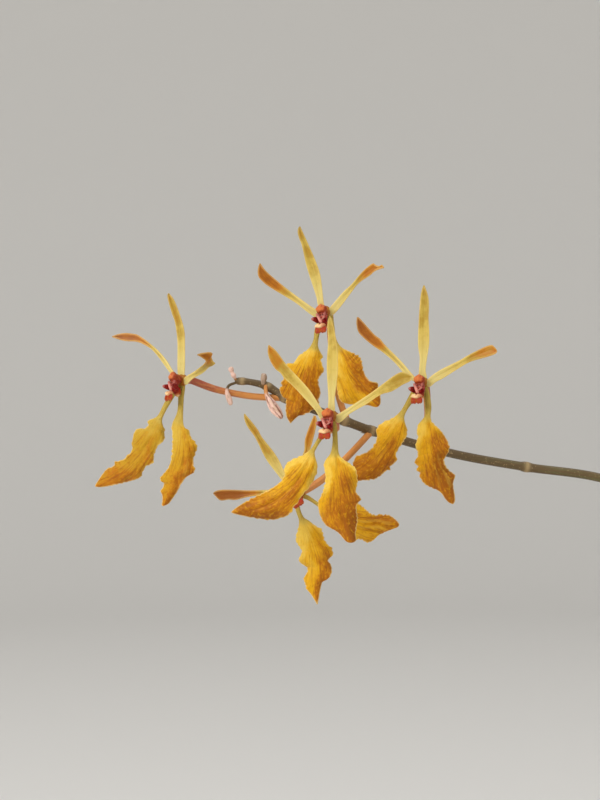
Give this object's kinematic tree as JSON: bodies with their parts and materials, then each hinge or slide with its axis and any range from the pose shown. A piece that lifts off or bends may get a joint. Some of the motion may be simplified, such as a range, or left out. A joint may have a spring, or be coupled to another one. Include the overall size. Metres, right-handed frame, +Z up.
{
  "type": "potted renanthera orchid",
  "caption": "Renanthera orchid in a terracotta pot: an arching spray of waved yellow-orange blooms with red centres above two-ranked strap leaves.",
  "frame": {"origin": "centre of the pot's underside", "axes": "+Z up along the pot's axis, blooms at -X facing -Y"},
  "size_m": [0.3648, 0.13, 0.4079],
  "materials": {
    "terracotta": "matt",
    "bark": "rough",
    "sheath": "dry",
    "leaf": "satin",
    "root": "matt",
    "flower_stem": "satin",
    "pedicel": "satin",
    "bud": "satin",
    "tepal": "satin",
    "column": "waxy",
    "lip": "waxy"
  },
  "bodies": {
    "root": {"pot": "terracotta", "bark_medium": "bark", "plant_stem": "sheath", "leaf_01": "leaf", "leaf_02": "leaf", "leaf_03": "leaf", "leaf_04": "leaf", "leaf_05": "leaf", "leaf_06": "leaf", "leaf_07": "leaf", "leaf_08": "leaf", "leaf_09": "leaf", "leaf_10": "leaf", "leaf_11": "leaf", "leaf_12": "leaf", "root_1": "root", "root_2": "root", "root_3": "root", "root_4": "root", "flower_stem": "flower_stem", "bud_1": "bud", "bud_2": "bud", "bud_3": "bud", "bud_4": "bud", "left_tepals": "tepal", "left_column": "column", "left_lip": "lip", "left_pedicel": "pedicel", "top_tepals": "tepal", "top_column": "column", "top_lip": "lip", "top_pedicel": "pedicel", "center_tepals": "tepal", "center_column": "column", "center_lip": "lip", "center_pedicel": "pedicel", "right_tepals": "tepal", "right_column": "column", "right_lip": "lip", "right_pedicel": "pedicel", "lower_tepals": "tepal", "lower_column": "column", "lower_lip": "lip", "lower_pedicel": "pedicel"}
  },
  "joints": []
}
